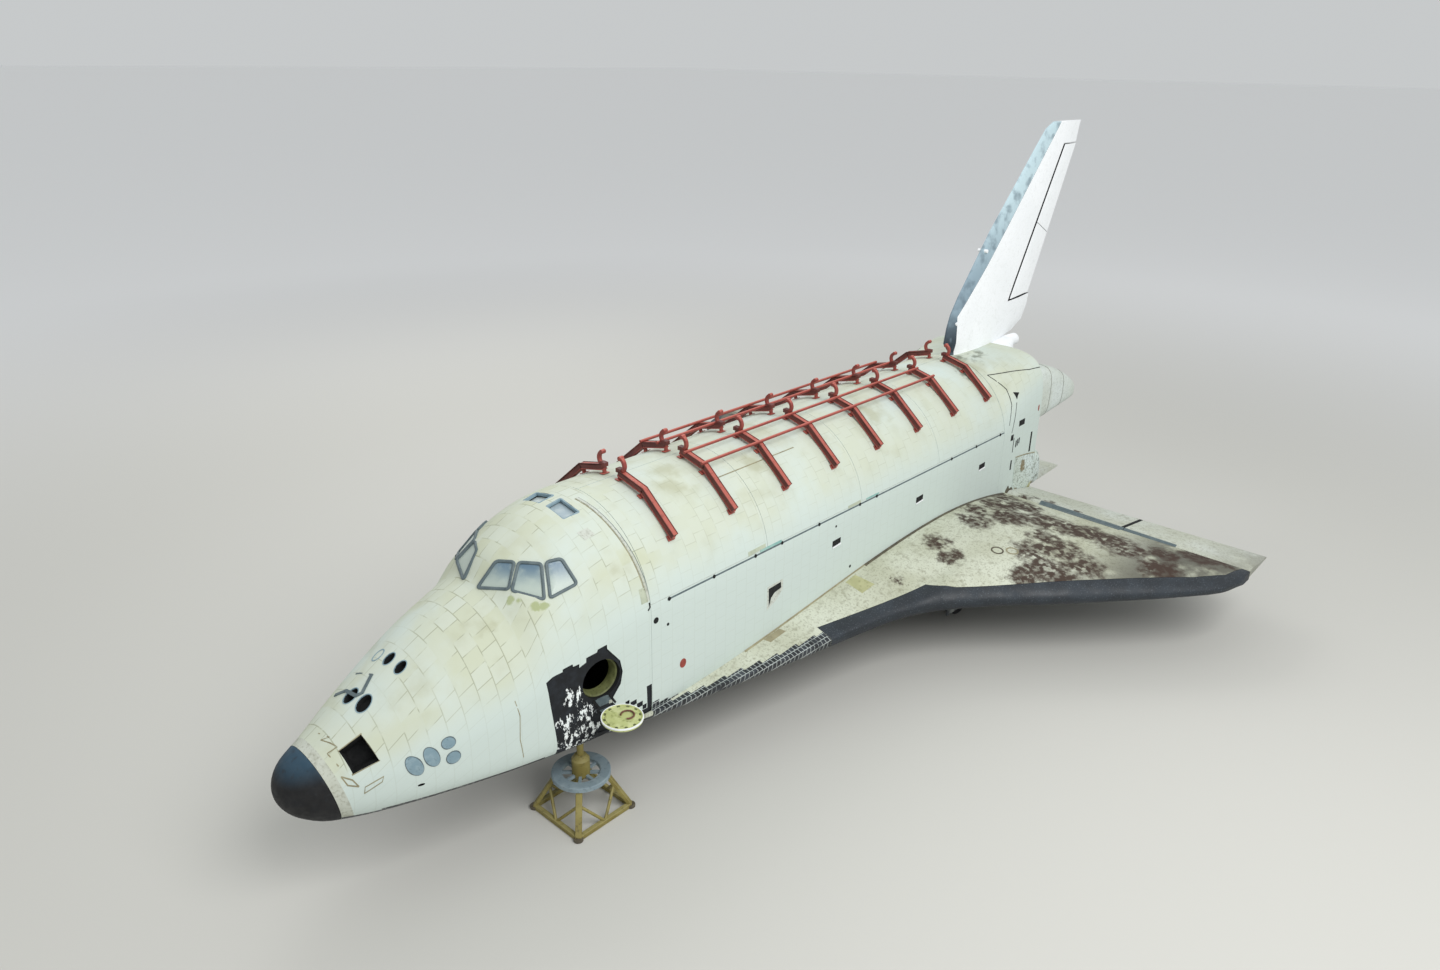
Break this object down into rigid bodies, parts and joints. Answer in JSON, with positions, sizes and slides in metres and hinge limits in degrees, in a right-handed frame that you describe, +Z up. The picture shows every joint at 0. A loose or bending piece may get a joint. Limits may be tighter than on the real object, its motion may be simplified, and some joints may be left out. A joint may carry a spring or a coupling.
{
  "type": "space shuttle orbiter on its landing gear",
  "caption": "Winged space shuttle standing on its gear, with hinged bay doors carrying red ground beams, an open side hatch, elevons, a rudder and a yellow jack stand.",
  "frame": {"origin": "centre of the bounding box on the floor", "axes": "+X towards the nose, +Y to port, +Z up"},
  "size_m": [36.37, 23.92, 16.35],
  "materials": {
    "white_tile": "matt white silica tiles, weathered",
    "black_tile": "matt black silica tiles",
    "dark_edge": "blue-grey reinforced carbon, speckled",
    "red_paint": "faded red paint on steel",
    "window_glass": "clear heat-resistant glass",
    "primer": "yellow-green primer",
    "gear_metal": "satin steel",
    "tyre_rubber": "matt black rubber",
    "yellow_paint": "chipped yellow paint on steel",
    "dark_interior": "matt dark grey paint"
  },
  "bodies": {
    "root": {"forward_fuselage": "white_tile", "mid_fuselage": "white_tile", "aft_fuselage": "white_tile", "tail_fin": "white_tile", "parachute_housing": "white_tile", "nose_cap": "black_tile", "fin_leading_edge": "dark_edge", "hatch_ring": "primer", "flight_deck": "dark_interior", "nose_leg": "gear_metal", "engine_block": "gear_metal", "nose_stand": "yellow_paint", "port_wing": "white_tile", "port_engine_pod": "white_tile", "port_leading_edge": "dark_edge", "port_windshield": "window_glass", "port_overhead_window": "window_glass", "port_nose_gear_door": "black_tile", "port_main_gear_door": "black_tile", "port_main_leg": "gear_metal", "starboard_wing": "white_tile", "starboard_engine_pod": "white_tile", "starboard_leading_edge": "dark_edge", "starboard_windshield": "window_glass", "starboard_overhead_window": "window_glass", "starboard_nose_gear_door": "black_tile", "starboard_main_gear_door": "black_tile", "starboard_main_leg": "gear_metal"},
    "port_door": {"port_bay_door": "white_tile", "port_front_beam": "red_paint", "port_tied_beams": "red_paint", "port_rear_beam": "red_paint"},
    "port_inner_elevon_body": {"port_inner_elevon": "white_tile"},
    "port_outer_elevon_body": {"port_outer_elevon": "white_tile"},
    "port_main_wheels": {"port_main_hubs": "gear_metal", "port_main_port_tyre": "tyre_rubber", "port_main_starboard_tyre": "tyre_rubber"},
    "starboard_door": {"starboard_bay_door": "white_tile", "starboard_front_beam": "red_paint", "starboard_tied_beams": "red_paint", "starboard_rear_beam": "red_paint"},
    "starboard_inner_elevon_body": {"starboard_inner_elevon": "white_tile"},
    "starboard_outer_elevon_body": {"starboard_outer_elevon": "white_tile"},
    "starboard_main_wheels": {"starboard_main_hubs": "gear_metal", "starboard_main_port_tyre": "tyre_rubber", "starboard_main_starboard_tyre": "tyre_rubber"},
    "hatch": {"hatch_door": "primer"},
    "rudder": {"lower_rudder": "white_tile", "upper_rudder": "white_tile"},
    "flap": {"body_flap": "black_tile"},
    "nose_steering": {"nose_fork": "gear_metal"},
    "nose_wheels": {"nose_hubs": "gear_metal", "nose_port_tyre": "tyre_rubber", "nose_starboard_tyre": "tyre_rubber"}
  },
  "joints": [
    {"name": "port_bay_door_hinge", "type": "hinge", "parent": "root", "child": "port_door", "pos_m": [0, 2.835, 5.595], "axis": [-1, 0, 0], "range_deg": [0, 160]},
    {"name": "starboard_bay_door_hinge", "type": "hinge", "parent": "root", "child": "starboard_door", "pos_m": [0, -2.835, 5.595], "axis": [1, 0, 0], "range_deg": [0, 160]},
    {"name": "port_inner_elevon_hinge", "type": "hinge", "parent": "root", "child": "port_inner_elevon_body", "pos_m": [-10.265, 5.165, 2.5], "axis": [0, 1, 0], "range_deg": [-20, 35]},
    {"name": "port_outer_elevon_hinge", "type": "hinge", "parent": "root", "child": "port_outer_elevon_body", "pos_m": [-10.265, 9.695, 2.5], "axis": [0, 1, 0], "range_deg": [-20, 35]},
    {"name": "starboard_inner_elevon_hinge", "type": "hinge", "parent": "root", "child": "starboard_inner_elevon_body", "pos_m": [-10.265, -5.165, 2.5], "axis": [0, 1, 0], "range_deg": [-20, 35]},
    {"name": "starboard_outer_elevon_hinge", "type": "hinge", "parent": "root", "child": "starboard_outer_elevon_body", "pos_m": [-10.265, -9.695, 2.5], "axis": [0, 1, 0], "range_deg": [-20, 35]},
    {"name": "rudder_hinge", "type": "hinge", "parent": "root", "child": "rudder", "pos_m": [-13.245, 0, 9.1], "axis": [-0.4923, 0, 0.8705], "range_deg": [-23, 23]},
    {"name": "body_flap_hinge", "type": "hinge", "parent": "root", "child": "flap", "pos_m": [-13.565, 0, 2.43], "axis": [0, 1, 0], "range_deg": [-22.5, 11.7]},
    {"name": "side_hatch_hinge", "type": "hinge", "parent": "root", "child": "hatch", "pos_m": [10.88463, 2.71933, 3.25], "axis": [0.9905, -0.1376, 0], "range_deg": [0, 90]},
    {"name": "nose_steering_pivot", "type": "hinge", "parent": "root", "child": "nose_steering", "pos_m": [8.085, 0, 1.2], "axis": [0, 0, 1], "range_deg": [-10, 10]},
    {"name": "nose_wheel_spin", "type": "hinge", "parent": "nose_steering", "child": "nose_wheels", "pos_m": [8.085, 0, 0.47], "axis": [0, 1, 0], "continuous": true},
    {"name": "port_main_wheel_spin", "type": "hinge", "parent": "root", "child": "port_main_wheels", "pos_m": [-4.865, 3.5, 0.64], "axis": [0, 1, 0], "continuous": true},
    {"name": "starboard_main_wheel_spin", "type": "hinge", "parent": "root", "child": "starboard_main_wheels", "pos_m": [-4.865, -3.5, 0.64], "axis": [0, 1, 0], "continuous": true}
  ]
}
